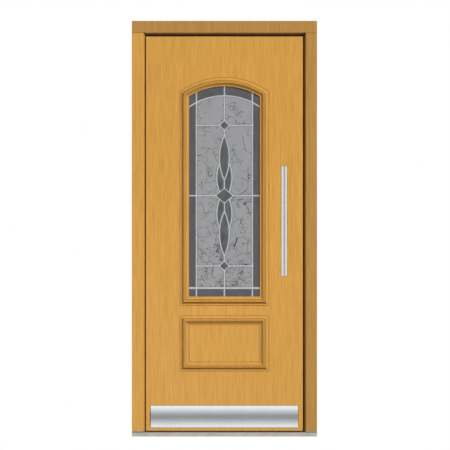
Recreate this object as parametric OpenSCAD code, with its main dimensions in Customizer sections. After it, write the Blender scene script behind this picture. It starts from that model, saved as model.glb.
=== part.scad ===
// Panelled front door with its frame, for an opening in a wall.
// An inward-opening leaf carries an arched leaded light, a planted lower panel, a pull bar,
// a kick plate and a mortise lock, and swings on three hinges on the inside.
// Millimetres. +Z is up, outside is -Y, hinges are on -X, and the origin is the middle of
// the threshold's underside.

/* [Frame] */
// Overall width over the jambs
frame_w = 980; // [930:5:1100]
// Overall height from the threshold's underside to the top of the head
frame_h = 2200; // [2140:5:2350]
// Depth of the frame, from its outside face to its inside face
frame_d = 80; // [74:1:100]
// Face width of the jambs
jamb_face = 69; // [60:1:80]
// Face height of the head
head_face = 62; // [50:1:80]
// Depth of the lip that the leaf closes behind
lip_d = 30; // [26:1:36]
// Width of the splay on the lip's front edge
splay_w = 11; // [6:1:14]
// Depth of the splay
splay_d = 22; // [18:1:24]
// How far the splay bulges
splay_rise = 1.2; // [0.5:0.1:2]
// Width and depth of the line under the head at the joint with a jamb
joint_line = 1.5; // [0.5:0.25:2]
// Width of the rebate behind the lip
rebate_w = 17; // [15:1:20]
// Radius of the holes for the wall fixings
fixing_r = 5.25; // [4:0.25:6]
// Height of the lowest wall fixing
fixing_low = 200; // [150:10:240]
// Distance of the highest wall fixing below the top of the head
fixing_high = 260; // [200:10:300]

/* [Threshold] */
// Height of the insulating base
base_h = 19; // [15:1:30]
// Thickness of the metal tread on the base
tread_t = 5; // [3:0.5:8]
// Thickness of the pads that the jambs stand on
foot_t = 5; // [3:0.5:10]
// Radius of the tread's rounded front edge
tread_nose = 3; // [1:0.5:3]

/* [Leaf] */
// How far the leaf's outside face lies behind the frame's
leaf_recess = 12; // [6:1:16]
// Gap between the leaf's face and the jamb's lip
gap_side = 6; // [5:0.5:8]
// Gap between the leaf's face and the head's lip
gap_top = 10; // [5:0.5:14]
// Gap between the leaf and the threshold's tread
gap_bottom = 7; // [5:0.5:10]
// Gap between the leaf's edge and the frame's rebate
gap_edge = 4; // [3.5:0.5:6]
// Gap for the seal between the lip and the leaf's shoulder
seal_gap = 6; // [4:0.5:8]
// Thickness of each skin
skin_t = 8; // [5:0.5:12]

/* [Seals] */
// Width of the seal's groove in the back of the lip
groove_w = 4; // [3:0.5:5]
// Depth of that groove
groove_d = 5; // [4:0.5:7]
// Distance of the groove's middle from the lip's edge
groove_at = 7; // [6:0.5:8]
// Play between a seal's foot and its groove
groove_play = 0.2; // [0.1:0.05:0.3]
// How far the seal's pad reaches behind the lip, from its edge
seal_cover = 10; // [9.5:0.5:12]
// Clear space between the seal's pad and the leaf's nose
seal_clear = 2.6; // [2.4:0.1:3.5]
// Clear space between the seal's pad and the leaf's nose under the head
seal_clear_top = 1; // [0.5:0.5:3]
// Distance that a soft seal keeps from what it seals against
seal_rest = 0.3; // [0.2:0.1:0.6]
// Width of the sweep's groove under the leaf
sweep_w = 5; // [4:0.5:7]
// Depth of the sweep's groove
sweep_d = 8; // [6:0.5:10]
// Thickness of the sweep's fin
sweep_fin = 2; // [1.5:0.25:3]

/* [Arched light] */
// Distance of the light's moulding from the edges of the leaf's face
stile_w = 181.5; // [160:0.5:200]
// Distance of the glass's crown below the top of the leaf's face
crown_margin = 263; // [220:1:320]
// Height of the glass's lower sight line above the ground
light_z = 741; // [700:1:800]
// Radius of the arch at the sight line
arch_r = 354; // [300:2:420]
// How far the glass runs behind the moulding
glass_bite = 11; // [8:0.5:12]
// Play between the glass and the leaf, all round
glass_play = 3; // [2:0.5:5]
// Play between the leg of a moulding or a bead and the leaf
leg_play = 1; // [0.5:0.25:1.5]
// Distance of the glass behind the leaf's outside face
glass_set = 6; // [4:0.5:9]
// Width of the air space in the glazed unit
cavity = 14; // [10:1:16]
// Thickness of the inside pane
pane_t = 6; // [4:0.5:8]
// Width of the spacer between the panes
spacer_w = 8; // [6:0.5:8]

/* [Leading] */
// Width of a came's flange
came_w = 7; // [6:0.5:10]
// Width of the came above the bottom border
sill_came_w = 10; // [8:0.5:13]
// Thickness of a came's flange
came_flange = 1; // [0.6:0.1:1.6]
// Thickness of a came's heart
came_heart = 1.4; // [1:0.1:2]
// Thickness of the cut glass
cut_glass_t = 4; // [3:0.5:5]
// Width of the came round the edge of the light
edge_came = 6; // [5:0.5:7]
// Play between the cut glass and the came
came_play = 0.1; // [0.05:0.05:0.2]
// Width of the side borders, to the middle of the came
side_border = 39.5; // [34:0.5:46]
// Height of the bottom border, to the middle of the came
bottom_border = 45; // [36:1:54]
// Height of the top border at the crown, to the middle of the came
top_border = 51; // [46:1:56]
// Radius of the arched came
arched_came_r = 328; // [300:2:380]
// Distance of the upper cross bar below the crown
cross_high = 207; // [180:1:230]
// Height of the lower cross bar above the sight line
cross_low = 162; // [140:1:190]
// Half diagonal of the small lozenges
small_lozenge = 26; // [20:1:30]
// Half width of the large lozenge
large_lozenge_w = 47; // [42:1:54]
// Half height of the large lozenge
large_lozenge_h = 39; // [34:1:44]
// Half width of a leaf-shaped piece
spindle_w = 26; // [22:1:30]
// Distance of a leaf-shaped piece's tip from the cross bar
spindle_gap = 54; // [44:1:64]
// Distance of a leaf-shaped piece's other tip from the pattern's middle
spindle_foot = 82; // [66:1:96]
// Half width over a pair of petals
petal_w = 40; // [37:1:46]
// How far a pair of petals' lower tip, which is hidden, passes the pattern's middle
petal_tip = 24; // [20:1:28]
// How far its upper tip, which is hidden too, passes the leaf-shaped piece's middle
petal_top = 16; // [10:1:22]

/* [Mouldings] */
// Width of the mouldings
moulding_w = 46; // [42:1:50]
// Height of the mouldings above the leaf
moulding_t = 14; // [11:0.5:18]
// Flat of the moulding along the sight line
sight_flat = 5; // [4:0.5:6]
// Distance of the inner slope's upper edge from the sight line
slope_w = 15; // [13:0.5:16]
// Width of the moulding's crown, which has two reeds
crown_w = 13; // [11:0.5:14]
// Width of the fillet along the moulding's outer edge
fillet_w = 6; // [5:0.5:8]
// Height of the fillet
fillet_t = 3; // [2:0.5:4]
// Height of the flat along the sight line
edge_t = 2.5; // [1:0.5:3]
// Width of the quirks on both sides of the crown
quirk = 2; // [1.4:0.1:2.4]
// Depth of the quirks
quirk_d = 2.4; // [1.6:0.1:3]
// How far the inner slope bulges
slope_rise = 0.3; // [0.1:0.1:1]
// How far the reeds on the crown bulge
reed_rise = 1.7; // [1:0.1:2.2]
// How far the outer cove is hollowed
cove_rise = 0.9; // [0.5:0.1:2]
// Height of the rail between the light's moulding and the lower panel's
rail_h = 57; // [40:1:80]
// Height of the lower panel's bottom edge
panel_z = 348; // [280:2:400]
// Hairline at the lower panels' mitres
mitre_gap = 0.1; // [0.05:0.05:0.2]
// Cover of the inside bead on the inside skin
bead_cover = 14; // [8:1:20]
// Height of the inside bead above the inside skin
bead_proud = 6; // [4:0.5:9]
// How far the bead's edges bow out
bead_round = 1.2; // [0.5:0.1:1.5]

/* [Pull bar] */
// Diameter of the bar
bar_dia = 35; // [28:1:40]
// Length of the bar over its domed ends
bar_len = 600; // [500:10:800]
// Height of one domed end
dome_h = 13; // [8:1:14]
// Wall of the bar
bar_wall = 2; // [1.5:0.1:3]
// Distance of the bar's axis from the edge of the leaf's face
bar_inset = 99; // [90:1:110]
// Height of the bar's middle
bar_z = 1140; // [1120:5:1160]
// Clear space between the leaf and the bar
bar_reach = 47; // [40:1:60]
// Distance between the two posts
post_pitch = 400; // [300:10:420]
// Diameter of a post
post_dia = 20; // [16:1:22]
// Diameter of a post's collar
collar_dia = 30; // [26:1:34]
// Thickness of a post's collar
collar_t = 5; // [3:0.5:8]
// Diameter of the stud that holds a post
stud_dia = 8; // [6:0.5:10]
// Distance between the stud's end and the inside skin
stud_stop = 15; // [10:1:25]
// Play round a stud
stud_play = 0.2; // [0.1:0.1:0.4]

/* [Kick plate] */
// Margin between the kick plate and the edges of the leaf's face
kick_margin = 25; // [10:1:50]
// Height of the kick plate
kick_h = 115; // [90:1:130]
// Height of its lower edge above the leaf's
kick_lift = 17; // [10:1:30]
// Bow of the plate over its height
kick_bow = 7; // [4:0.5:9]
// Depth of its rim
kick_rim = 2.5; // [2:0.5:4]
// Thickness of its sheet
kick_sheet = 1.5; // [1:0.1:1.9]

/* [Hinges] */
// Distance of the outer hinges' middles from the leaf's upper and lower edges
hinge_inset = 250; // [180:5:320]
// Height of a hinge
hinge_h = 100; // [80:2:120]
// Height of each of the frame's two knuckles
knuckle_h = 30; // [22:1:34]
// Radius of a knuckle
knuckle_r = 10; // [9:0.5:11]
// Radius of the hinge pin
pin_r = 5; // [4:0.25:6]
// Running clearance between the pin and the leaf's knuckle
pin_play = 0.05; // [0.03:0.01:0.09]
// Play between two knuckles
knuckle_play = 0.4; // [0.3:0.1:0.8]
// Clear space between a knuckle and the leaf's face
knuckle_lift = 1; // [0.8:0.1:1.5]
// Thickness of a wing
wing_t = 3; // [2.5:0.25:4]
// Width of a wing, from the pin's axis
wing_w = 38; // [32:1:44]
// Height of the pin's caps
cap_h = 4; // [3:0.5:6]
// Radius of the pin's caps
cap_r = 9; // [7:0.5:9.5]
// Chamfer of the pin's caps
cap_chamfer = 1; // [0.5:0.25:2]

/* [Lock] */
// Height of the lever's axis
lever_z = 1050; // [1030:5:1060]
// Height of the lever's axis above the cylinder's
lever_drop = 92; // [85:1:94]
// Distance of the lever's axis behind the leaf's edge
backset = 60; // [55:1:65]
// Thickness of the lock case
case_t = 16; // [14:0.5:18]
// Depth of the lock case behind the faceplate
case_d = 88; // [82:1:95]
// Height of the lock case above the lever's axis
case_up = 45; // [40:1:55]
// Height of the lock case below the cylinder's axis
case_down = 45; // [40:1:50]
// Width of the faceplate
plate_w = 20; // [18:1:22]
// Thickness of the faceplate and the strike plate
plate_t = 3; // [2.5:0.25:4]
// How far the faceplate runs past the lock case
plate_over = 28; // [20:1:40]
// Thickness of the latch and the bolt
bolt_t = 11; // [9:0.5:12]
// Height of the latch and the bolt
bolt_h = 34; // [28:1:36]
// Distance of the latch's and the bolt's back ends from the hub
bolt_back = 10; // [6:1:12]
// How far the latch shoots out
latch_throw = 14; // [12:0.5:16]
// How far the bolt shoots out
bolt_throw = 20; // [18:0.5:22]
// Height of the latch's middle above the lever's axis
latch_up = 12; // [8:1:16]
// Height of the bolt's middle below the lever's axis
bolt_down = 42; // [38:1:44]
// Sliding play round the latch and the bolt
bolt_play = 0.3; // [0.2:0.05:0.5]
// Width of the latch's blunt tip
latch_tip = 2; // [1:0.5:3]
// Play round the latch and the bolt in the strike plate, and behind them in their pockets
strike_play = 1.5; // [1:0.25:2]
// Radius of the hub that the spindle turns
hub_r = 10; // [8:0.5:11]
// Running clearance round the hub
hub_play = 0.1; // [0.05:0.01:0.1]
// Radius of the key cylinder's plug
plug_r = 8.5; // [7.5:0.25:9]
// Width of the key cylinder's body
body_w = 10; // [9:0.5:11]
// Height of the key cylinder
cylinder_h = 33; // [31:0.5:34]
// Play round the key cylinder
cylinder_play = 0.3; // [0.2:0.05:0.5]
// Play between the lock case and its mortise
mortise_play = 0.5; // [0.3:0.1:1]

/* [Inside handle] */
// Length of the lever from its axis
lever_len = 125; // [100:5:135]
// Diameter of the lever's grip
lever_dia = 20; // [16:1:22]
// Diameter of the lever's neck
neck_dia = 18; // [14:0.5:18]
// Distance of the grip's axis from the leaf
lever_reach = 52; // [45:1:60]
// Side of the square spindle
spindle_side = 8; // [7:0.5:9]
// How far the spindle reaches into the lever's neck, past the long plate
spindle_grip = 8; // [6:0.5:12]
// Play between the spindle and the lever's neck
spindle_play = 0.2; // [0.1:0.05:0.3]
// Width of the long plate
long_plate_w = 40; // [36:1:48]
// Thickness of the long plate
long_plate_t = 8; // [6:0.5:10]
// How far the long plate runs past the two axes
long_plate_over = 46; // [40:1:60]
// Diameter of the turn knob
turn_dia = 32; // [26:1:36]
// Depth of the turn knob
turn_d = 20; // [16:1:26]
// Width of the turn knob over its two flats
turn_flat = 19; // [14:1:22]
// Diameter of the turn knob's stem
stem_dia = 10; // [8:0.5:11]
// Gap between the turn knob and the long plate
turn_gap = 0.3; // [0.2:0.1:0.6]
// Turning clearance round the lever's neck and the knob's stem
turn_play = 0.2; // [0.1:0.05:0.3]

/* [Hidden] */
$fn = 128;
// Overlap that lets one cut run cleanly through a face
past = 1;
// Straight steps that a bowed line is drawn with
arc_steps = 6;

// Places across the frame and the leaf
half_w = frame_w / 2;
y_out = -frame_d / 2;
y_in = frame_d / 2;
y_lip = y_out + lip_d;
y_shoulder = y_lip + seal_gap;
y_leaf = y_out + leaf_recess;
y_core = y_leaf + skin_t;
y_inner_skin = y_in - skin_t;
x_lip = half_w - jamb_face;
x_rebate = x_lip + rebate_w;
x_nose = x_lip - gap_side;
x_edge = x_rebate - gap_edge;

// Heights of the frame and the leaf
z_tread = base_h + tread_t;
z_jamb = z_tread + foot_t;
z_joint = frame_h - head_face;
z_lip = z_joint - splay_w;
z_rebate = z_lip + rebate_w;
z_leaf = z_tread + gap_bottom;
z_nose = z_lip - gap_top;
z_edge = z_rebate - gap_edge;
fixing_pitch = (frame_h - fixing_low - fixing_high) / 3;

// Seals
seal_x = x_nose + seal_clear;
seal_y = y_shoulder - seal_rest;
sweep_y = (y_shoulder + y_inner_skin) / 2;
sweep_half = x_edge - gap_edge;

// Arched light: sight lines, the layers of the glazed unit and the opening in the leaf
sight = x_nose - stile_w - moulding_w;
light_w = 2 * sight;
crown_z = z_nose - crown_margin;
arch_z = crown_z - arch_r;
opening = glass_bite + glass_play;
y_glass = y_leaf + glass_set;
leaded_t = cut_glass_t + 2 * came_flange;
y_spacer = y_glass + leaded_t;
y_pane = y_spacer + cavity;
y_bead = y_pane + pane_t;
leg = opening - leg_play;
bead_w = opening + bead_cover;
bead_d = y_in + bead_proud - y_bead;

// Leading pattern: the middle is half way between the cross bars
pattern_z = (crown_z - cross_high + light_z + cross_low) / 2;
cross_bar = crown_z - cross_high - pattern_z;
spindle_at = (cross_bar - spindle_gap + spindle_foot) / 2;
spindle_h = (cross_bar - spindle_gap - spindle_foot) / 2;
petal_at = (spindle_at + petal_top - petal_tip) / 2;
petal_h = (spindle_at + petal_top + petal_tip) / 2;
side_came_x = sight - side_border;
sill_came_z = light_z + bottom_border;
arched_came_z = crown_z - top_border - arched_came_r;

// Lower panel
panel_top = light_z - moulding_w - rail_h;

// Pull bar
bar_r = bar_dia / 2;
bar_x = x_nose - bar_inset;
bar_y = y_leaf - bar_reach - bar_r;
y_stud = y_inner_skin - stud_stop;
post_zs = [bar_z - post_pitch / 2, bar_z + post_pitch / 2];
dome_r = (pow(bar_r, 2) + pow(dome_h, 2)) / (2 * dome_h);

// Kick plate
kick_w = 2 * (x_nose - kick_margin);
kick_z = z_leaf + kick_lift;
kick_r = (pow(kick_h / 2, 2) + pow(kick_bow, 2)) / (2 * kick_bow);

// Hinges
hinge_low = z_leaf + hinge_inset;
hinge_high = z_edge - hinge_inset;
hinge_mid = (hinge_low + hinge_high) / 2;
hinge_x = -(x_edge + x_rebate) / 2;
hinge_y = y_in + knuckle_lift + knuckle_r;
wing_step = knuckle_r;

// Lock: the middle plane of the case, the two axes and the heights of its parts
lock_y = (y_shoulder + y_inner_skin) / 2;
axis_x = x_edge - backset;
turn_z = lever_z - lever_drop;
case_x = x_edge - plate_t;
case_z = turn_z - case_down;
case_top = lever_z + case_up;
plate_z = case_z - plate_over;
plate_top = case_top + plate_over;
latch_z = lever_z + latch_up;
bolt_z = lever_z - bolt_down;
bolt_len = backset - hub_r - bolt_back;
pocket_d = bolt_throw + strike_play;
y_plate = y_in + long_plate_t;
grip_y = y_in + lever_reach;

oak = [0.84, 0.62, 0.31];
core_wood = [0.76, 0.60, 0.40];
fibre_board = [0.80, 0.73, 0.58];
stainless = [0.80, 0.81, 0.82];
anodised = [0.66, 0.66, 0.66];
stone_grey = [0.72, 0.69, 0.64];
rubber_black = [0.08, 0.08, 0.08];
lead_white = [0.82, 0.82, 0.83];
pale_glass = [0.63, 0.64, 0.64];
smoke_glass = [0.37, 0.38, 0.39];
bevel_glass = [0.36, 0.39, 0.39];

// Helpers

// A box given by its two corners
module block(low, high) {
    translate(low) cube(high - low);
}

// A cylinder along +Y from one y to another
module rod_y(x, z, y0, y1, r) {
    translate([x, y0, z]) rotate([-90, 0, 0]) cylinder(r = r, h = y1 - y0);
}

// A lock's plate with round ends, from one x to another, in the lock's middle plane
module lock_plate(x0, x1) {
    r = plate_w / 2;
    block([x0, lock_y - r, plate_z + r], [x1, lock_y + r, plate_top - r]);
    for (z = [plate_z + r, plate_top - r])
        translate([x0, lock_y, z]) rotate([0, 90, 0]) cylinder(r = r, h = x1 - x0);
}

// A flat outline drawn in x and z, as a plate from one y to another
module plate_y(y0, y1) {
    translate([0, y1, 0]) rotate([90, 0, 0]) linear_extrude(y1 - y0) children();
}

// Points along a bowed line from a to b, which stands off the straight one by rise at its middle,
// on the left of the way from a to b
function bowed(a, b, rise) = let (way = b - a, left = [-way.y, way.x] / norm(way)) [
    for (i = [0:arc_steps])
        let (t = i / arc_steps)
        a + way * t + left * rise * 4 * t * (1 - t)
];

// Frame

// Plan section of a jamb, for the side of +X: lip with a splayed front edge, rebate and seal groove
module jamb_section() {
    difference() {
        polygon(concat(
            bowed([x_lip, y_out + splay_d], [x_lip + splay_w, y_out], -splay_rise),
            [[half_w, y_out], [half_w, y_in], [x_rebate, y_in], [x_rebate, y_lip], [x_lip, y_lip]]
        ));
        translate([x_lip + groove_at - groove_w / 2, y_lip - groove_d]) square([groove_w, groove_d + past]);
    }
}

// A jamb with its wall fixing holes, for the side of +X
module jamb() {
    difference() {
        translate([0, 0, z_jamb]) linear_extrude(z_joint - z_jamb) jamb_section();
        block([x_lip, y_out - past, z_joint - joint_line], [half_w + past, y_out + joint_line, z_joint + past]);
        for (i = [0:3])
            translate([x_rebate - past, lock_y, fixing_low + i * fixing_pitch])
                rotate([0, 90, 0]) cylinder(r = fixing_r, h = half_w - x_rebate + 2 * past);
    }
}

module hinge_jamb() {
    color(oak) mirror([1, 0, 0]) jamb();
}

// The lock jamb is housed for the strike plate, with a pocket behind each of its windows
module lock_jamb() {
    color(oak) difference() {
        jamb();
        lock_plate(x_rebate - past, x_rebate + plate_t);
        for (z = [latch_z, bolt_z]) strike_window(z, x_rebate, x_rebate + plate_t + pocket_d);
    }
}

// The space that the latch or the bolt shoots into
module strike_window(z, x0, x1) {
    block([x0 - past, lock_y - bolt_t / 2 - strike_play, z - bolt_h / 2 - strike_play],
          [x1, lock_y + bolt_t / 2 + strike_play, z + bolt_h / 2 + strike_play]);
}

module strike_plate() {
    color(stainless) difference() {
        lock_plate(x_rebate, x_rebate + plate_t);
        for (z = [latch_z, bolt_z]) strike_window(z, x_rebate, x_rebate + plate_t + past);
    }
}

// The head lies across both jambs, and its lip hangs between theirs
module frame_head() {
    color(oak) difference() {
        union() {
            block([-half_w, y_out, z_joint], [half_w, y_in, frame_h]);
            translate([-x_lip, 0, 0]) rotate([90, 0, 90]) linear_extrude(2 * x_lip) polygon(concat(
                bowed([y_out + splay_d, z_lip], [y_out, z_joint], splay_rise),
                [[y_out, z_joint + past], [y_lip, z_joint + past], [y_lip, z_lip]]
            ));
        }
        block([-x_rebate, y_lip, z_joint - past], [x_rebate, y_in + past, z_rebate]);
        block([-x_rebate, y_lip - groove_d, z_lip + groove_at - groove_w / 2],
              [x_rebate, y_lip + past, z_lip + groove_at + groove_w / 2]);
    }
}

// Seal section: a foot for the groove and a pad that closes the gap, for the side of +X
module seal_section() {
    foot = groove_w - 2 * groove_play;
    translate([x_lip + groove_at - foot / 2, y_lip - groove_d + groove_play]) square([foot, groove_d]);
    translate([seal_x, y_lip]) square([x_lip + seal_cover - seal_x, seal_y - y_lip]);
}

// One seal runs up the hinge jamb, along the head and down the lock jamb
module frame_seal() {
    foot_z = z_lip + groove_at - groove_w / 2 + groove_play;
    foot_top = z_lip + groove_at + groove_w / 2 - groove_play;
    foot_x = x_lip - groove_play;
    pad_x = x_lip + seal_cover;
    color(rubber_black) union() {
        for (side = [0, 1])
            mirror([side, 0, 0]) translate([0, 0, z_jamb]) linear_extrude(foot_top - z_jamb) seal_section();
        block([-pad_x, y_lip, z_nose + seal_clear_top], [pad_x, seal_y, z_lip + seal_cover]);
        block([-foot_x, y_lip - groove_d + groove_play, foot_z], [foot_x, y_lip + past, foot_top]);
    }
}

// Threshold: an insulating base, a metal tread on it and a sealing pad under each jamb
module threshold_base() {
    color(stone_grey) block([-half_w, y_out, 0], [half_w, y_in, base_h]);
}

// The tread's front edge is rounded over
module threshold_tread() {
    color(anodised) difference() {
        block([-half_w, y_out, base_h], [half_w, y_in, z_tread]);
        translate([0, y_out, z_tread]) difference() {
            translate([-half_w - past, -past, -tread_nose])
                cube([2 * (half_w + past), tread_nose + past, tread_nose + past]);
            translate([-half_w - 2 * past, tread_nose, -tread_nose])
                rotate([0, 90, 0]) cylinder(r = tread_nose, h = 2 * (half_w + 2 * past));
        }
    }
}

// The pad under a jamb has the jamb's own section
module jamb_foot() {
    color(anodised) translate([0, 0, z_tread]) linear_extrude(foot_t) jamb_section();
}

// Leaf

// The core's outline: a wide part behind the lip and a narrower nose inside it
module core_envelope() {
    block([-x_nose, y_core, z_leaf], [x_nose, y_shoulder, z_nose]);
    block([-x_edge, y_shoulder, z_leaf], [x_edge, y_inner_skin, z_edge]);
}

// One member of the core, between two heights and two places across the leaf
module core_member(x0, x1, z0, z1) {
    difference() {
        intersection() {
            core_envelope();
            block([x0, y_core - past, z0], [x1, y_inner_skin + past, z1]);
        }
        block([-sweep_half, sweep_y - sweep_w / 2, z_leaf - past],
              [sweep_half, sweep_y + sweep_w / 2, z_leaf + sweep_d]);
    }
}

// Arched outline, larger than the sight line by d
module light_outline(d) {
    translate([-sight - d, light_z - d]) square([light_w + 2 * d, arch_z - light_z + d]);
    intersection() {
        translate([0, arch_z]) circle(arch_r + d);
        translate([-sight - d, arch_z - past]) square([light_w + 2 * d, arch_r + d + 2 * past]);
    }
}

// Height at which a line d outside the sight line meets the arch at the same distance
function spring_z(d) = arch_z + sqrt(pow(arch_r + d, 2) - pow(sight + d, 2));

module hinge_stile() {
    color(core_wood) core_member(-x_edge, -sight - opening, z_leaf, z_edge);
}

// The lock stile is mortised for the lock and drilled for the posts' studs
module lock_stile() {
    color(core_wood) difference() {
        core_member(sight + opening, x_edge, z_leaf, z_edge);
        lock_plate(case_x, x_edge + past);
        block([case_x - case_d - mortise_play, lock_y - case_t / 2 - mortise_play, case_z - mortise_play],
              [x_edge, lock_y + case_t / 2 + mortise_play, case_top + mortise_play]);
        rod_y(axis_x, lever_z, lock_y, y_in, hub_r + mortise_play);
        plate_y(lock_y, y_in) cylinder_outline(cylinder_play);
        for (z = post_zs)
            rod_y(bar_x, z, y_core - past, y_stud + past, stud_dia / 2 + stud_play);
    }
}

module top_rail() {
    color(core_wood) difference() {
        core_member(-sight - opening, sight + opening, spring_z(opening), z_edge);
        plate_y(y_core - past, y_inner_skin + past) light_outline(opening);
    }
}

module mid_rail() {
    color(core_wood) core_member(-sight - opening, sight + opening, panel_top, light_z - opening);
}

module bottom_rail() {
    color(core_wood) core_member(-sight - opening, sight + opening, z_leaf, panel_z);
}

module panel_core() {
    color(fibre_board) core_member(-sight - opening, sight + opening, panel_z, panel_top);
}

module outer_skin() {
    color(oak) difference() {
        block([-x_nose, y_leaf, z_leaf], [x_nose, y_core, z_nose]);
        plate_y(y_leaf - past, y_core + past) light_outline(opening);
        for (z = post_zs) rod_y(bar_x, z, y_leaf - past, y_core + past, stud_dia / 2 + stud_play);
    }
}

module inner_skin() {
    color(oak) difference() {
        block([-x_edge, y_inner_skin, z_leaf], [x_edge, y_in, z_edge]);
        plate_y(y_inner_skin - past, y_in + past) light_outline(opening);
        rod_y(axis_x, lever_z, y_inner_skin - past, y_in + past, hub_r + mortise_play);
        plate_y(y_inner_skin - past, y_in + past) cylinder_outline(cylinder_play);
    }
}

// A soft fin in a groove under the leaf sweeps the tread
module bottom_sweep() {
    foot = sweep_w / 2 - groove_play;
    fin = sweep_fin / 2;
    color(rubber_black) union() {
        block([-sweep_half, sweep_y - foot, z_leaf], [sweep_half, sweep_y + foot, z_leaf + sweep_d]);
        block([-sweep_half, sweep_y - fin, z_tread + seal_rest], [sweep_half, sweep_y + fin, z_leaf + past]);
    }
}

// Mouldings

// Moulding section: u runs outwards from the sight line and v away from the leaf.
// From the sight line it has a flat, a slope, a quirk, two reeds, a second quirk, a cove and a fillet.
function moulding_face() = let (
    top = moulding_t - reed_rise,
    crown_u = slope_w + quirk,
    reed_u = crown_u + crown_w / 2,
    cove_u = crown_u + crown_w,
    fillet_u = moulding_w - fillet_w
) concat(
    [[0, edge_t]],
    bowed([sight_flat, edge_t], [slope_w, top], slope_rise),
    [[slope_w + quirk / 2, top - quirk_d]],
    bowed([crown_u, top], [reed_u, top], reed_rise),
    bowed([reed_u, top], [cove_u, top], reed_rise),
    [[cove_u + quirk / 2, top - quirk_d]],
    bowed([cove_u + quirk, top], [fillet_u, fillet_t], -cove_rise),
    [[moulding_w, fillet_t], [moulding_w, 0]]
);

// The light's moulding has a leg that reaches back into the opening and rests on the glass
module light_moulding_section() {
    polygon(concat(moulding_face(), [[leg, 0], [leg, -glass_set], [0, -glass_set]]));
}

module panel_moulding_section() {
    polygon(concat(moulding_face(), [[0, 0]]));
}

// Inside bead section: v runs inwards from the pane, with a rounded cover on the inside skin
module bead_section() {
    depth = y_in - y_bead;
    polygon(concat(
        [[0, 0], [leg, 0], [leg, depth]],
        bowed([bead_w, depth], [bead_w - bead_proud, bead_d], -bead_round),
        bowed([bead_proud, bead_d], [0, depth], -bead_round)
    ));
}

// Places a straight length whose section is the child: along z on the left or the right,
// or along x at the bottom or the top. The section's v points along -Y for dir -1, +Y for dir 1.
module upright(side, x, y, dir, z0, z1) {
    translate([x, y, z0]) scale([side, dir, 1]) linear_extrude(z1 - z0) children();
}

module crosswise(side, z, y, dir, half) {
    translate([-half, y, z]) rotate([90, 0, 90]) scale([dir, side, 1])
        linear_extrude(2 * half) rotate([0, 0, 90]) mirror([0, 1, 0]) children();
}

// Areas, in x and z, that the mitred lengths round a light or a panel are trimmed to
module side_area(side, reach) {
    scale([side, 1]) polygon(concat(
        [[sight, light_z], [sight + reach, light_z - reach]],
        [for (i = [arc_steps:-1:0]) let (d = reach * i / arc_steps) [sight + d, spring_z(d)]]
    ));
}

module arch_area(reach) {
    curve = [for (i = [0:arc_steps]) let (d = reach * i / arc_steps) [sight + d, spring_z(d)]];
    top = crown_z + reach + past;
    polygon(concat(
        curve, [[sight + reach, top], [-sight - reach, top]],
        [for (i = [arc_steps:-1:0]) [-curve[i].x, curve[i].y]]
    ));
}

module foot_area(half, z, side, reach) {
    polygon([[-half, z], [half, z], [half + reach, z + side * reach], [-half - reach, z + side * reach]]);
}

module upright_area(side, half, z0, z1, reach) {
    scale([side, 1])
        polygon([[half, z0], [half + reach, z0 - reach], [half + reach, z1 + reach], [half, z1]]);
}

// Arched length: the section turned about the arch's centre
module arched(y, dir) {
    translate([0, y, arch_z]) rotate([90, 0, 0]) scale([1, 1, -dir])
        rotate_extrude() translate([arch_r, 0]) children();
}

// Lengths round the arched light, trimmed to their mitres: the section, its width, and the depth
// that it lies in, from y by tall towards dir and by deep the other way
module light_side(side, y, dir, reach, tall, deep) {
    intersection() {
        upright(side, side * sight, y, dir, light_z - reach, spring_z(reach) + past) children();
        trim_plate(y, dir, tall, deep) side_area(side, reach + past);
    }
}

module light_arch(y, dir, reach, tall, deep) {
    intersection() {
        arched(y, dir) children();
        trim_plate(y, dir, tall, deep) arch_area(reach + past);
    }
}

module light_bottom(y, dir, reach, tall, deep) {
    intersection() {
        crosswise(-1, light_z, y, dir, sight + reach) children();
        trim_plate(y, dir, tall, deep) foot_area(sight, light_z, -1, reach + past);
    }
}

module trim_plate(y, dir, tall, deep) {
    plate_y(y - (dir < 0 ? tall : deep) - past, y + (dir < 0 ? deep : tall) + past) children();
}

module light_moulding_left() {
    color(oak) light_side(-1, y_leaf, -1, moulding_w, moulding_t, glass_set) light_moulding_section();
}

module light_moulding_right() {
    color(oak) light_side(1, y_leaf, -1, moulding_w, moulding_t, glass_set) light_moulding_section();
}

module light_moulding_arch() {
    color(oak) light_arch(y_leaf, -1, moulding_w, moulding_t, glass_set) light_moulding_section();
}

module light_moulding_bottom() {
    color(oak) light_bottom(y_leaf, -1, moulding_w, moulding_t, glass_set) light_moulding_section();
}

module bead_left() {
    color(oak) light_side(-1, y_bead, 1, bead_w, bead_d, 0) bead_section();
}

module bead_right() {
    color(oak) light_side(1, y_bead, 1, bead_w, bead_d, 0) bead_section();
}

module bead_arch() {
    color(oak) light_arch(y_bead, 1, bead_w, bead_d, 0) bead_section();
}

module bead_bottom() {
    color(oak) light_bottom(y_bead, 1, bead_w, bead_d, 0) bead_section();
}

// Lengths round the lower panel, on the outside skin (dir -1) or the inside skin (dir 1)
module panel_side(side, y, dir) {
    z0 = panel_z + moulding_w + mitre_gap;
    z1 = panel_top - moulding_w - mitre_gap;
    intersection() {
        upright(side, side * sight, y, dir, panel_z, panel_top) panel_moulding_section();
        trim_plate(y, dir, moulding_t, 0) upright_area(side, sight, z0, z1, moulding_w + past);
    }
}

module panel_cross(side, y, dir) {
    z = side < 0 ? panel_z + moulding_w : panel_top - moulding_w;
    intersection() {
        crosswise(side, z, y, dir, sight + moulding_w) panel_moulding_section();
        trim_plate(y, dir, moulding_t, 0) foot_area(sight, z, side, moulding_w + past);
    }
}

module panel_moulding_left() {
    color(oak) panel_side(-1, y_leaf, -1);
}

module panel_moulding_right() {
    color(oak) panel_side(1, y_leaf, -1);
}

module panel_moulding_top() {
    color(oak) panel_cross(1, y_leaf, -1);
}

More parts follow.
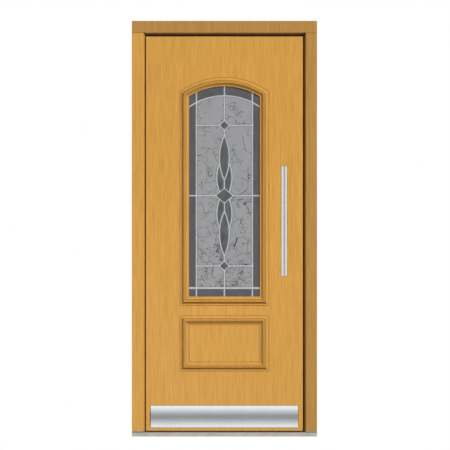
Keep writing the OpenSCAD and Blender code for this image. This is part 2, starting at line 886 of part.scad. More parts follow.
module panel_moulding_bottom() {
    color(oak) panel_cross(-1, y_leaf, -1);
}

// The inside panel's moulding is four lengths that meet at hairline mitres
module inside_panel_moulding() {
    color(oak) union() {
        for (side = [-1, 1]) {
            panel_side(side, y_in, 1);
            panel_cross(side, y_in, 1);
        }
    }
}

// Leaded light

// A lozenge of half diagonals a and b, its outline moved out by d
module lozenge(z, a, b, d) {
    grow = 1 + d * sqrt(a * a + b * b) / (a * b);
    translate([0, z]) polygon([[a * grow, 0], [0, b * grow], [-a * grow, 0], [0, -b * grow]]);
}

// A leaf shape of half width a and half height b between two arcs, its outline moved out by d
module leaf_shape(z, a, b, d) {
    r = (a * a + b * b) / (2 * a);
    translate([0, z]) intersection() {
        translate([a - r, 0]) circle(r + d);
        translate([r - a, 0]) circle(r + d);
    }
}

// The lozenges, and the two spindles between them, moved out by d
module lozenges(d) {
    lozenge(pattern_z, large_lozenge_w, large_lozenge_h, d);
    for (side = [-1, 1])
        lozenge(pattern_z + side * cross_bar, small_lozenge, small_lozenge, d);
}

module spindles(d) {
    for (side = [-1, 1]) leaf_shape(pattern_z + side * spindle_at, spindle_w, spindle_h, d);
}

module petals(d) {
    for (side = [-1, 1]) leaf_shape(pattern_z + side * petal_at, petal_w, petal_h, d);
}

// A bar of width w between two points on one upright or level line
module bar_line(a, b, w) {
    translate([min(a.x, b.x) - (a.x == b.x ? w / 2 : 0), min(a.y, b.y) - (a.y == b.y ? w / 2 : 0)])
        square([abs(a.x - b.x) + (a.x == b.x ? w : 0), abs(a.y - b.y) + (a.y == b.y ? w : 0)]);
}

// Straight and arched cames of width w, before the ornament is let into them
module plain_cames(w, sill_w) {
    reach = sight + glass_bite;
    low = light_z - glass_bite;
    top = crown_z + glass_bite;
    for (side = [-1, 1]) {
        bar_line([side * side_came_x, low], [side * side_came_x, top], w);
        cross_z = pattern_z + side * cross_bar;
        bar_line([-side_came_x, cross_z], [side_came_x, cross_z], w);
    }
    bar_line([-reach, sill_came_z], [reach, sill_came_z], sill_w);
    bar_line([-reach, pattern_z], [reach, pattern_z], w);
    bar_line([0, low], [0, top], w);
    difference() {
        translate([0, arched_came_z]) circle(arched_came_r + w / 2);
        translate([0, arched_came_z]) circle(arched_came_r - w / 2);
        translate([-reach, arched_came_z - arched_came_r - w])
            square([2 * reach, arched_came_r + w + sqrt(pow(arched_came_r, 2) - pow(reach, 2)) - w]);
    }
}

// The whole net of cames of width w inside an edge came
module came_lines(w, sill_w, edge) {
    difference() {
        light_outline(glass_bite);
        light_outline(glass_bite - edge);
    }
    intersection() {
        light_outline(glass_bite);
        union() {
            difference() {
                plain_cames(w, sill_w);
                lozenges(-w / 2);
                spindles(-w / 2);
            }
            difference() {
                petals(w / 2);
                petals(-w / 2);
                lozenges(0);
                spindles(0);
            }
            difference() {
                spindles(w / 2);
                spindles(-w / 2);
                lozenges(0);
            }
            difference() {
                lozenges(w / 2);
                lozenges(-w / 2);
            }
        }
    }
}

// The soldered net: two flanges that cover the glass's edges, and a heart between them
module came_net() {
    y_heart = y_glass + came_flange;
    color(lead_white) union() {
        plate_y(y_glass, y_heart) came_lines(came_w, sill_came_w, edge_came);
        plate_y(y_heart, y_heart + cut_glass_t) came_lines(came_heart, came_heart, came_heart);
        plate_y(y_heart + cut_glass_t, y_spacer) came_lines(came_w, sill_came_w, edge_came);
    }
}

// Glass of the whole light, cut along the cames' hearts
module cut_glass() {
    y_heart = y_glass + came_flange;
    cut = came_heart + 2 * came_play;
    plate_y(y_heart + came_play, y_heart + cut_glass_t - came_play) difference() {
        intersection() {
            light_outline(glass_bite - came_heart - came_play);
            children();
        }
        came_lines(cut, cut, came_heart + came_play);
    }
}

module ornament_area() {
    lozenges(0);
    spindles(0);
    petals(0);
}

// The pale field between the side cames, the sill came and the arched came
module field_area() {
    intersection() {
        translate([-side_came_x, sill_came_z]) square([2 * side_came_x, crown_z - sill_came_z]);
        union() {
            translate([0, arched_came_z]) circle(arched_came_r);
            translate([-side_came_x, sill_came_z]) square([2 * side_came_x, arched_came_z - sill_came_z]);
        }
    }
}

module field_glass() {
    color(pale_glass) cut_glass() difference() {
        field_area();
        ornament_area();
    }
}

module border_glass() {
    color(smoke_glass) cut_glass() difference() {
        light_outline(glass_bite);
        field_area();
    }
}

module ornament_glass() {
    color(bevel_glass) cut_glass() ornament_area();
}

module inner_pane() {
    color(pale_glass) plate_y(y_pane, y_bead) light_outline(glass_bite);
}

module glass_spacer() {
    color(anodised) plate_y(y_spacer, y_pane) difference() {
        light_outline(glass_bite);
        light_outline(glass_bite - spacer_w);
    }
}

// Pull bar and kick plate

// A tube with two domed ends, drilled for nothing that shows
module pull_bar() {
    straight = bar_len / 2 - dome_h;
    color(stainless) translate([bar_x, bar_y, bar_z]) difference() {
        union() {
            translate([0, 0, -straight]) cylinder(r = bar_r, h = 2 * straight);
            for (side = [0, 1]) mirror([0, 0, side]) translate([0, 0, straight]) intersection() {
                translate([0, 0, dome_h - dome_r]) sphere(dome_r);
                translate([0, 0, -past]) cylinder(r = bar_r + past, h = dome_h + 2 * past);
                translate([-bar_dia, -bar_dia, 0]) cube([2 * bar_dia, 2 * bar_dia, dome_h + past]);
            }
        }
        translate([0, 0, -straight]) cylinder(r = bar_r - bar_wall, h = 2 * straight);
    }
}

// A post with its collar on the leaf, its stud in the leaf and its end shaped to the bar
module post(z) {
    color(stainless) difference() {
        union() {
            rod_y(bar_x, z, bar_y, y_leaf, post_dia / 2);
            rod_y(bar_x, z, y_leaf - collar_t, y_leaf, collar_dia / 2);
            rod_y(bar_x, z, y_leaf - past, y_stud, stud_dia / 2);
        }
        translate([bar_x, bar_y, z - post_dia]) cylinder(r = bar_r, h = 2 * post_dia);
    }
}

// A pressed sheet, bowed over its height, with a rim that stands on the leaf
module kick_shell(inset) {
    r = kick_r - inset;
    front = y_leaf - kick_rim - kick_bow + inset;
    intersection() {
        translate([-kick_w / 2 + inset, front + r, kick_z + kick_h / 2])
            rotate([0, 90, 0]) cylinder(r = r, h = kick_w - 2 * inset);
        block([-kick_w / 2, y_leaf - kick_rim - kick_bow - past, kick_z + inset],
              [kick_w / 2, y_leaf + inset, kick_z + kick_h - inset]);
    }
}

module kick_plate() {
    color(stainless) difference() {
        kick_shell(0);
        kick_shell(kick_sheet);
    }
}

// Hinges

// The frame's wing lies on the jamb and has the end knuckles, for a hinge at height z
module frame_wing(z) {
    color(stainless) translate([hinge_x, hinge_y, z - hinge_h / 2]) difference() {
        union() {
            block([-wing_w, y_in - hinge_y, 0], [-wing_step, y_in - hinge_y + wing_t, hinge_h]);
            for (at = [0, hinge_h - knuckle_h]) translate([0, 0, at]) {
                block([-wing_step - past, y_in - hinge_y, 0], [0, y_in - hinge_y + wing_t, knuckle_h]);
                cylinder(r = knuckle_r, h = knuckle_h);
            }
        }
        translate([0, 0, -past]) cylinder(r = pin_r, h = hinge_h + 2 * past);
    }
}

// The leaf's wing lies on the leaf and has the middle knuckle
module leaf_wing(z) {
    low = knuckle_h + knuckle_play;
    tall = hinge_h - 2 * low;
    color(stainless) translate([hinge_x, hinge_y, z - hinge_h / 2]) difference() {
        union() {
            block([wing_step, y_in - hinge_y, 0], [wing_w, y_in - hinge_y + wing_t, hinge_h]);
            translate([0, 0, low]) {
                block([0, y_in - hinge_y, 0], [wing_step + past, y_in - hinge_y + wing_t, tall]);
                cylinder(r = knuckle_r, h = tall);
            }
        }
        translate([0, 0, -past]) cylinder(r = pin_r + pin_play, h = hinge_h + 2 * past);
    }
}

// The pin passes through all three knuckles and has a cap at each end
module hinge_pin(z) {
    color(stainless) translate([hinge_x, hinge_y, z]) union() {
        translate([0, 0, -hinge_h / 2 - past]) cylinder(r = pin_r, h = hinge_h + 2 * past);
        for (side = [0, 1]) mirror([0, 0, side]) translate([0, 0, hinge_h / 2])
            cylinder(r1 = cap_r, r2 = cap_r - cap_chamfer, h = cap_h);
    }
}

// Lock

// Outline of the key cylinder, moved out by d
module cylinder_outline(d) {
    foot_z = turn_z + plug_r - cylinder_h + body_w / 2;
    translate([axis_x, turn_z]) circle(plug_r + d);
    translate([axis_x - body_w / 2 - d, foot_z]) square([body_w + 2 * d, turn_z - foot_z]);
    translate([axis_x, foot_z]) circle(body_w / 2 + d);
}

// The latch or the bolt's own space, from its back end out through the faceplate
module bolt_space(z) {
    block([x_edge - bolt_len - bolt_play, lock_y - bolt_t / 2 - bolt_play, z - bolt_h / 2 - bolt_play],
          [x_edge + past, lock_y + bolt_t / 2 + bolt_play, z + bolt_h / 2 + bolt_play]);
}

module lock_faceplate() {
    color(stainless) difference() {
        lock_plate(case_x, x_edge);
        for (z = [latch_z, bolt_z]) bolt_space(z);
    }
}

module lock_case() {
    color(anodised) difference() {
        block([case_x - case_d, lock_y - case_t / 2, case_z], [case_x, lock_y + case_t / 2, case_top]);
        for (z = [latch_z, bolt_z]) bolt_space(z);
        rod_y(axis_x, lever_z, lock_y - case_t, lock_y + case_t, hub_r + hub_play);
        plate_y(lock_y - case_t, lock_y + case_t) cylinder_outline(cylinder_play);
    }
}

// The latch's nose is bevelled on the side that meets the strike plate as the leaf closes
module latch_bolt() {
    color(stainless) translate([0, 0, latch_z - bolt_h / 2]) linear_extrude(bolt_h) polygon([
        [x_edge - bolt_len, lock_y - bolt_t / 2], [x_edge - latch_throw, lock_y - bolt_t / 2],
        [x_edge, lock_y + bolt_t / 2 - latch_tip], [x_edge, lock_y + bolt_t / 2],
        [x_edge - bolt_len, lock_y + bolt_t / 2]
    ]);
}

module deadbolt() {
    color(stainless) block([x_edge - bolt_len, lock_y - bolt_t / 2, bolt_z - bolt_h / 2],
                           [x_edge, lock_y + bolt_t / 2, bolt_z + bolt_h / 2]);
}

// A half cylinder, worked from the inside only
module key_cylinder() {
    color(stainless) difference() {
        plate_y(lock_y - case_t / 2, y_plate) cylinder_outline(0);
        rod_y(axis_x, turn_z, y_in, y_plate + past, stem_dia / 2 + turn_play);
    }
}

module inside_long_plate() {
    r = long_plate_w / 2;
    low = turn_z - long_plate_over + r;
    high = lever_z + long_plate_over - r;
    color(stainless) difference() {
        plate_y(y_in, y_plate) union() {
            translate([axis_x - r, low]) square([2 * r, high - low]);
            for (z = [low, high]) translate([axis_x, z]) circle(r);
        }
        rod_y(axis_x, lever_z, y_in - past, y_plate + past, neck_dia / 2 + turn_play);
        plate_y(y_in - past, y_plate + past) cylinder_outline(cylinder_play);
    }
}

// Lever: a neck out of the long plate, a round elbow and a grip that ends in a dome
module lever_handle() {
    r = lever_dia / 2;
    color(stainless) difference() {
        union() {
            rod_y(axis_x, lever_z, y_in + past, grip_y, neck_dia / 2);
            translate([axis_x, grip_y, lever_z]) {
                sphere(r);
                rotate([0, -90, 0]) cylinder(r = r, h = lever_len - r);
                translate([r - lever_len, 0, 0]) sphere(r);
            }
        }
        spindle_bar(y_in, y_plate + spindle_grip, spindle_play);
    }
}

// The square bar, from one y to another, larger by d on each side
module spindle_bar(y0, y1, d) {
    side = spindle_side / 2 + d;
    block([axis_x - side, y0, lever_z - side], [axis_x + side, y1, lever_z + side]);
}

// The spindle with the hub that it turns inside the lock case
module lever_spindle() {
    color(stainless) union() {
        spindle_bar(lock_y, y_plate + spindle_grip, 0);
        rod_y(axis_x, lever_z, lock_y - case_t / 2, lock_y + case_t / 2, hub_r);
    }
}

// The turn knob: a stem in the cylinder and a round grip with two flats
module turn_knob() {
    y_grip = y_plate + turn_gap;
    color(stainless) union() {
        rod_y(axis_x, turn_z, y_in + past, y_grip + past, stem_dia / 2);
        intersection() {
            rod_y(axis_x, turn_z, y_grip, y_grip + turn_d, turn_dia / 2);
            block([axis_x - turn_flat / 2, y_grip - past, turn_z - turn_dia],
                  [axis_x + turn_flat / 2, y_grip + turn_d + past, turn_z + turn_dia]);
        }
    }
}

hinge_jamb();
lock_jamb();
frame_head();
threshold_base();
threshold_tread();
mirror([1, 0, 0]) jamb_foot();  // hinge_jamb_foot
jamb_foot();  // lock_jamb_foot
frame_seal();
strike_plate();
frame_wing(hinge_low);  // low_hinge_frame_wing
frame_wing(hinge_mid);  // mid_hinge_frame_wing
frame_wing(hinge_high);  // high_hinge_frame_wing
hinge_pin(hinge_low);  // low_hinge_pin
hinge_pin(hinge_mid);  // mid_hinge_pin
hinge_pin(hinge_high);  // high_hinge_pin
outer_skin();
inner_skin();
hinge_stile();
lock_stile();
top_rail();
mid_rail();
bottom_rail();
panel_core();
light_moulding_arch();
light_moulding_left();
light_moulding_right();
light_moulding_bottom();
panel_moulding_top();
panel_moulding_bottom();
panel_moulding_left();
panel_moulding_right();
inside_panel_moulding();
bead_arch();
bead_left();
bead_right();
bead_bottom();
came_net();
field_glass();
border_glass();
ornament_glass();
inner_pane();
glass_spacer();
kick_plate();
pull_bar();
post(post_zs[0]);  // lower_post
post(post_zs[1]);  // upper_post
leaf_wing(hinge_low);  // low_hinge_leaf_wing
leaf_wing(hinge_mid);  // mid_hinge_leaf_wing
leaf_wing(hinge_high);  // high_hinge_leaf_wing
bottom_sweep();
lock_faceplate();
lock_case();
key_cylinder();
inside_long_plate();
lever_handle();
lever_spindle();
latch_bolt();
deadbolt();
turn_knob();
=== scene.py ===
# %% [markdown]
# # A panelled front door with its frame
#
# The solids of the door come in as a fixed frame, in metres: X to the right seen from outside, the
# outside towards -Y, Z up. This script adds the small pieces that are too fine for the solids,
# gives every piece a finish, and sets up the camera and the light.

# %% Load the door
import bmesh
import bpy
import numpy as np
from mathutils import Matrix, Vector


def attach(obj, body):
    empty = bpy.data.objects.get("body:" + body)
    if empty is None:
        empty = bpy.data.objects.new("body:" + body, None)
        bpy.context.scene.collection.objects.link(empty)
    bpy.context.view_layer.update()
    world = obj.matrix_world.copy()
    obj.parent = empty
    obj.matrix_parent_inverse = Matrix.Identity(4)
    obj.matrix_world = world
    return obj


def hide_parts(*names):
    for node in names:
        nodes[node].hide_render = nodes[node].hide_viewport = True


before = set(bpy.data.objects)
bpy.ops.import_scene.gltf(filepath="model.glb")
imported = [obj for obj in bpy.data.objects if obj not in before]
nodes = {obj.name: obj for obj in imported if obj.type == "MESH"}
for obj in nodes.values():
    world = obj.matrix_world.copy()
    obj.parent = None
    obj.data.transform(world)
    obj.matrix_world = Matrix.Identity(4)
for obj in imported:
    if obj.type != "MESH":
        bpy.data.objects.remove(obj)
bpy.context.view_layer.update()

# %% [markdown]
# ## Camera
#
# The photograph looks straight at the door and shows no perspective: both jambs are equally wide
# from top to bottom. A very long lens would come close, but an orthographic camera is exact, so the
# picture's width is simply given in metres.

# %% Camera straight in front of the door
PICTURE_WIDTH = 2.3815
PICTURE_CENTRE = Vector((0.0031, 0.0, 1.1196))

camera_data = bpy.data.cameras.new("front_camera")
camera_data.type = "ORTHO"
camera_data.ortho_scale = PICTURE_WIDTH
camera_data.clip_end = 60.0
camera = bpy.data.objects.new("front_camera", camera_data)
camera.location = PICTURE_CENTRE + Vector((0.0, -6.0, 0.0))
camera.rotation_euler = (np.pi / 2, 0.0, 0.0)
bpy.context.scene.collection.objects.link(camera)
bpy.context.scene.camera = camera
bpy.context.scene.view_settings.view_transform = "Standard"
print("camera sees", PICTURE_WIDTH, "m")

# %% [markdown]
# ## Helpers for finishes
#
# A finish is a small network of nodes. Each one starts from the piece's own Object coordinates, so
# that the pattern stays on the piece when the door swings. A few helpers keep the networks short:
# one adds a node and fills its sockets, and the others make a stretched noise, a colour ramp, a
# mix, a sum, a range, a bump and a measure of how open a place is. The last one puts the sockets
# into a material.

# %% Node helpers
def node(tree, kind, inputs=None, **settings):
    """Adds a node. A socket given as an input is linked, and anything else is set as its value."""
    made = tree.nodes.new(kind)
    for key, value in settings.items():
        setattr(made, key, value)
    for key, value in (inputs or {}).items():
        if isinstance(value, bpy.types.NodeSocket):
            tree.links.new(value, made.inputs[key])
        else:
            made.inputs[key].default_value = value
    return made


def grain(tree, stretch, detail=4.0, rough=0.55, shift=(0.0, 0.0, 0.0), warp=0.0):
    """Noise whose cells are 1/stretch metres long on each axis, moved along by shift."""
    place = node(tree, "ShaderNodeTexCoord").outputs["Object"]
    turned = node(tree, "ShaderNodeMapping", {"Vector": place, "Scale": stretch, "Location": shift})
    made = node(tree, "ShaderNodeTexNoise", {
        "Vector": turned.outputs["Vector"], "Scale": 1.0, "Detail": detail,
        "Roughness": rough, "Distortion": warp})
    return made.outputs["Fac"]


def ramp(tree, value, *stops):
    """Turns a number into a colour. Each stop is a position and a grey level or a colour."""
    made = node(tree, "ShaderNodeValToRGB", {"Fac": value})
    band = made.color_ramp.elements
    for i, (at, tone) in enumerate(stops):
        stop = band[i] if i < 2 else band.new(at)
        stop.position = at
        stop.color = (*tone, 1.0) if isinstance(tone, tuple) else (tone, tone, tone, 1.0)
    return made.outputs["Color"]


def tint(tree, colour, other, how="MULTIPLY", amount=1.0):
    """Mixes two colours in the named way, by an amount that may vary over the surface."""
    made = node(tree, "ShaderNodeMix", {0: amount, 6: colour, 7: other}, data_type="RGBA", blend_type=how)
    return made.outputs[2]


def combine(tree, how, first, second):
    """Two numbers combined in the named way: ADD, SUBTRACT, MULTIPLY or MAXIMUM."""
    return node(tree, "ShaderNodeMath", {0: first, 1: second}, operation=how).outputs[0]


def levels(tree, value, low, high, start=0.0, stop=1.0):
    """Spreads a number that runs from start to stop over low to high."""
    return node(tree, "ShaderNodeMapRange", {"Value": value, "From Min": start, "From Max": stop,
                                             "To Min": low, "To Max": high}).outputs["Result"]


def relief(tree, height, depth, strength=1.0):
    """A bump of the given depth in metres."""
    made = node(tree, "ShaderNodeBump", {"Height": height, "Distance": depth, "Strength": strength})
    return made.outputs["Normal"]


def openness(tree, reach):
    """How much of its surroundings a point sees within a reach in metres: 1 in the open, 0 when shut in."""
    made = node(tree, "ShaderNodeAmbientOcclusion", {"Distance": reach}, samples=12)
    return made.outputs["AO"]


def surface(name, build, **fixed):
    """A material: build(tree) returns the sockets that vary, and fixed holds those that don't."""
    made = bpy.data.materials.new(name)
    made.use_nodes = True
    tree = made.node_tree
    tree.nodes.clear()
    shader = node(tree, "ShaderNodeBsdfPrincipled", {**fixed, **build(tree)})
    node(tree, "ShaderNodeOutputMaterial", {"Surface": shader.outputs["BSDF"]})
    return made


print("helpers ready")

# %% [markdown]
# ## Oak
#
# The frame and the leaf are covered in oak with straight, fine, upright grain under a satin
# varnish. Real oak shows three things at three scales: broad bands that differ a little in tone,
# streaks a few millimetres wide, and pores, short dark dashes about a third of a millimetre wide.
# Each is one noise, stretched along Z. An image of veneer would repeat; noise in space gives every
# board its own figure, and runs on round an edge. The head and the lock-side jamb take a darker
# tone, painted shade for the shadow that falls on them, so the tone is a parameter. The wood is
# also darkened where a point sees little of its surroundings, painted shade in the nooks: within a
# few millimetres on the mouldings, which makes their lines crisp, and further out on the head and
# lock-side jamb.

# %% Oak finishes
def oak_look(tone, reach, nook_shade_tone):
    """Oak: a ramp over the streaks, times bands, tone and pores, times painted shade where it is shut in.
    """
    def build(tree):
        streak = grain(tree, (210.0, 210.0, 6.5), 4.0, 0.6)
        band = grain(tree, (45.0, 45.0, 1.1), 3.0, 0.55, (3.1, 0.0, 0.0))
        pore = grain(tree, (900.0, 900.0, 38.0), 2.0, 0.5, (0.0, 7.3, 0.0))
        pores = ramp(tree, pore, (0.60, 0.0), (0.72, 1.0))
        wood = ramp(tree, streak, (0.28, (0.540, 0.266, 0.047)), (0.50, (0.640, 0.326, 0.064)),
                    (0.72, (0.720, 0.385, 0.087)))
        shade = ramp(tree, band, (0.30, (0.935, 0.93, 0.91)), (0.70, (1.0, 1.0, 1.0)))
        wood = tint(tree, wood, shade)
        wood = tint(tree, wood, (*tone, 1.0))
        wood = tint(tree, wood, (0.62, 0.52, 0.40, 1.0), "MULTIPLY", levels(tree, pores, 0.0, 0.55))
        # Painted shade: the wood is darkened towards the shade tone where the point sees little around it
        # within the reach.
        nook_shade_mask = levels(tree, openness(tree, reach), 1.0, 0.0, 0.50, 0.95)
        colour = tint(tree, wood, (*nook_shade_tone, 1.0), "MULTIPLY", nook_shade_mask)
        height = combine(tree, "SUBTRACT", levels(tree, streak, 0.0, 0.5), pores)
        return {"Base Color": colour, "Roughness": levels(tree, streak, 0.46, 0.36),
                "Normal": relief(tree, height, 0.00012, 0.6)}
    return build


VARNISH = {"Coat Weight": 0.12, "Coat Roughness": 0.32}
# Painted shade: each oak darkens its nooks by its shade tone, within its own reach.
leaf_oak = surface("leaf_oak", oak_look((1.0, 1.0, 1.0), 0.005, (0.11, 0.08, 0.06)), **VARNISH)
# Painted shade: the head and lock-side jamb get a darker tone and a wider reach of darkened nooks, for the
# shadow that falls on them.
painted_shade_oak = surface("painted_shade_oak", oak_look((0.71, 0.725, 0.87), 0.016, (0.26, 0.20, 0.15)), **VARNISH)
print("oak:", leaf_oak.name, painted_shade_oak.name)

# %% [markdown]
# ## Core wood and fibre board
#
# Between the skins the leaf has a softwood core, which shows on the edges of the open leaf, and a
# board of wood fibre behind the lower panel. Softwood has wider, softer streaks than oak; fibre
# board is a felt of short fibres without direction.

# %% Core finishes
def core_look(tree):
    """Softwood: wide bent streaks times fine ones."""
    ring = grain(tree, (70.0, 70.0, 1.2), 3.0, 0.5, warp=0.4)
    fine = grain(tree, (600.0, 600.0, 22.0), 3.0, 0.6)
    colour = tint(tree, ramp(tree, ring, (0.30, (0.46, 0.27, 0.11)), (0.66, (0.64, 0.43, 0.21))),
                  ramp(tree, fine, (0.3, 0.86), (0.7, 1.0)))
    return {"Base Color": colour, "Roughness": levels(tree, fine, 0.55, 0.7),
            "Normal": relief(tree, fine, 0.0001, 0.5)}


def fibre_look(tree):
    """Fibre board: a fine felt times soft clumps."""
    felt = grain(tree, (900.0, 500.0, 700.0), 5.0, 0.7)
    clump = grain(tree, (90.0, 90.0, 90.0), 3.0, 0.6)
    colour = tint(tree, ramp(tree, felt, (0.3, (0.40, 0.28, 0.15)), (0.7, (0.62, 0.50, 0.33))),
                  ramp(tree, clump, (0.3, 0.9), (0.7, 1.0)))
    return {"Base Color": colour, "Roughness": levels(tree, felt, 0.75, 0.9),
            "Normal": relief(tree, felt, 0.0002, 0.6)}


core_wood = surface("core_wood", core_look)
fibre_board = surface("fibre_board", fibre_look)
print("core:", core_wood.name, fibre_board.name)

# %% [markdown]
# ## Metals
#
# The pull bar, the kick plate and the fittings are stainless steel with a satin finish. Fine
# scratches all run one way, along the bar and across the plate, and spread a highlight across them.
# A noise that is stretched a few hundred to one gives the scratches, in the roughness and as a very
# shallow bump. The tread is anodised aluminium, duller and finely grained. The cames are white
# metal, with a dull bloom from handling and weather.

# %% Metal finishes
def brushed_look(stretch, tone, rough):
    """Brushed metal: scratches along the stretch, times a faint smear."""
    def build(tree):
        scratch = grain(tree, stretch, 3.0, 0.6)
        smear = grain(tree, (14.0, 14.0, 14.0), 3.0, 0.5)
        colour = tint(tree, ramp(tree, scratch, (0.25, tuple(0.90 * t for t in tone)), (0.75, tone)),
                      ramp(tree, smear, (0.3, 0.96), (0.7, 1.0)))
        return {"Base Color": colour, "Roughness": levels(tree, scratch, rough - 0.05, rough + 0.07),
                "Normal": relief(tree, scratch, 0.00002, 0.5)}
    return build


def came_look(tree):
    """White metal: a dull bloom times rubbed places."""
    bloom = grain(tree, (160.0, 160.0, 160.0), 4.0, 0.6)
    rub = grain(tree, (30.0, 30.0, 30.0), 3.0, 0.5, (5.0, 1.0, 2.0))
    colour = tint(tree, ramp(tree, bloom, (0.3, (0.53, 0.54, 0.55)), (0.7, (0.65, 0.65, 0.66))),
                  ramp(tree, rub, (0.35, 0.90), (0.65, 1.0)))
    return {"Base Color": colour, "Roughness": levels(tree, bloom, 0.34, 0.52),
            "Normal": relief(tree, bloom, 0.00008, 0.5)}


METAL = {"Metallic": 1.0}
bar_steel = surface("bar_steel", brushed_look((500.0, 500.0, 2.5), (0.85, 0.865, 0.86), 0.24), **METAL)
plate_steel = surface("plate_steel", brushed_look((5.0, 700.0, 900.0), (0.81, 0.838, 0.855), 0.16), **METAL)
fitting_steel = surface("fitting_steel", brushed_look((700.0, 700.0, 8.0), (0.62, 0.62, 0.61), 0.30),
                        **METAL)
tread_metal = surface("tread_metal", brushed_look((6.0, 500.0, 500.0), (0.37, 0.37, 0.365), 0.42),
                      Metallic=0.7)
came_metal = surface("came_metal", came_look, Metallic=0.45)
print("metals:", bar_steel.name, plate_steel.name, fitting_steel.name, tread_metal.name, came_metal.name)

# %% [markdown]
# ## Threshold base and seals
#
# The threshold's base is a pressed, stone-coloured insulating block with a fine speckle. The seals
# are dark brown rubber, matt, with the faint drag lines of extrusion.

# %% Base and rubber finishes
def base_look(tree):
    """Pressed block: soft clouds times a fine speckle."""
    speck = grain(tree, (1400.0, 1400.0, 1400.0), 2.0, 0.6)
    cloud = grain(tree, (18.0, 18.0, 18.0), 4.0, 0.55)
    colour = tint(tree, ramp(tree, cloud, (0.3, (0.43, 0.40, 0.35)), (0.7, (0.52, 0.485, 0.425))),
                  ramp(tree, speck, (0.32, 0.72), (0.5, 1.0), (0.75, 1.08)))
    return {"Base Color": colour, "Roughness": levels(tree, speck, 0.7, 0.85),
            "Normal": relief(tree, speck, 0.0002, 0.5)}


def rubber_look(tree):
    """Rubber: dust in soft clouds times drag lines."""
    drag = grain(tree, (500.0, 500.0, 500.0), 3.0, 0.6)
    dust = grain(tree, (40.0, 40.0, 12.0), 4.0, 0.6)
    colour = tint(tree, ramp(tree, dust, (0.35, (0.010, 0.008, 0.006)), (0.75, (0.026, 0.020, 0.015))),
                  ramp(tree, drag, (0.3, 0.85), (0.7, 1.0)))
    return {"Base Color": colour, "Roughness": levels(tree, drag, 0.55, 0.72),
            "Normal": relief(tree, drag, 0.00008, 0.5)}


stone_base = surface("stone_base", base_look)
seal_rubber = surface("seal_rubber", rubber_look)
print("base and seals:", stone_base.name, seal_rubber.name)

# %% [markdown]
# ## Glass
#
# The light has three glasses. The field is pale antique glass: its figure is a network of dark hair
# lines, some long and lonely, some in tight knots. The border is smoke grey and plain, with a slow
# waviness. The ornament is green-grey and bevelled. The hair lines are the borders between the
# cells of a Voronoi pattern whose place is first bent by a noise; a second, slower noise lets them
# show only here and there, and more of them low down. Painted shade darkens the field along the
# cames. All three glasses let part of the light through and scatter the rest, as figured glass does,
# and the pane on the inside is clear.

# %% Glass finishes
LIGHT_FOOT, LIGHT_TOP = 0.8, 1.7


def bent_place(tree, bend, scale, shift):
    """Object coordinates on the glass's own plane, bent sideways by a noise of the given scale."""
    place = node(tree, "ShaderNodeTexCoord").outputs["Object"]
    flat = node(tree, "ShaderNodeMapping", {"Vector": place, "Scale": (1.0, 0.0, 1.0), "Location": shift})
    wander = node(tree, "ShaderNodeTexNoise",
                  {"Vector": flat.outputs["Vector"], "Scale": scale, "Detail": 3.0})
    return tint(tree, flat.outputs["Vector"], wander.outputs["Color"], "LINEAR_LIGHT", bend)


def hair_lines(tree, cell, width, bend, share, patch, shift):
    """Lines between Voronoi cells, of a width in metres, kept where a slow noise is above share.
    The noise is raised low on the light, so that more lines show there."""
    place = bent_place(tree, bend, 1.6 * cell, shift)
    edge = node(tree, "ShaderNodeTexVoronoi", {"Vector": place, "Scale": cell}, feature="DISTANCE_TO_EDGE")
    line = levels(tree, edge.outputs["Distance"], 1.6, 0.0, 0.0, width * cell)
    own = node(tree, "ShaderNodeTexCoord").outputs["Object"]
    up = node(tree, "ShaderNodeSeparateXYZ", {0: own}).outputs["Z"]
    lower = levels(tree, up, 0.06, -0.025, LIGHT_FOOT, LIGHT_TOP)
    patches = combine(tree, "ADD", grain(tree, (patch, 1.0, patch), 2.0, 0.5, shift), lower)
    here = levels(tree, patches, 0.0, 1.0, share, share + 0.03)
    return combine(tree, "MULTIPLY", line, here)


def field_look(tree):
    """Antique glass: soft clouds, times three layers of hair lines, times painted shade along the cames."""
    lines = hair_lines(tree, 12.0, 0.0011, 0.003, 0.495, 12.0, (0.37, 0.0, 0.11))
    for finer in (hair_lines(tree, 22.0, 0.0009, 0.003, 0.545, 22.0, (2.51, 0.0, 0.83)),
                  hair_lines(tree, 48.0, 0.0009, 0.003, 0.565, 12.0, (1.73, 0.0, 0.62))):
        lines = combine(tree, "MAXIMUM", lines, finer)
    cloud = grain(tree, (26.0, 26.0, 9.0), 4.0, 0.55)
    colour = tint(tree, ramp(tree, cloud, (0.3, (0.398, 0.401, 0.407)), (0.7, (0.441, 0.444, 0.450))),
                  (0.07, 0.07, 0.08, 1.0), "MULTIPLY", levels(tree, lines, 0.0, 0.95))
    # Painted shade: the field is darkened next to the cames, where it sees little of its surroundings.
    came_shade_mask = levels(tree, openness(tree, 0.006), 1.0, 0.0, 0.74, 0.99)
    colour = tint(tree, colour, (0.14, 0.14, 0.15, 1.0), "MULTIPLY", came_shade_mask)
    height = combine(tree, "SUBTRACT", cloud, lines)
    return {"Base Color": colour, "Roughness": levels(tree, cloud, 0.16, 0.3),
            "Normal": relief(tree, height, 0.0004, 0.5)}


def plain_glass_look(dark, light):
    """Plain glass: slow waves between two tones, times fine seeds."""
    def build(tree):
        wave = grain(tree, (40.0, 40.0, 14.0), 3.0, 0.5)
        seed = grain(tree, (700.0, 700.0, 260.0), 2.0, 0.5)
        colour = tint(tree, ramp(tree, wave, (0.3, dark), (0.7, light)),
                      ramp(tree, seed, (0.3, 0.93), (0.62, 1.0)))
        return {"Base Color": colour, "Roughness": levels(tree, seed, 0.10, 0.2),
                "Normal": relief(tree, wave, 0.0004, 0.4)}
    return build


def clear_look(tree):
    """Clear glass with a thin, uneven film."""
    film = grain(tree, (12.0, 12.0, 5.0), 4.0, 0.6)
    return {"Base Color": ramp(tree, film, (0.3, (0.93, 0.96, 0.945)), (0.7, (0.98, 1.0, 0.99))),
            "Roughness": levels(tree, film, 0.0, 0.03)}


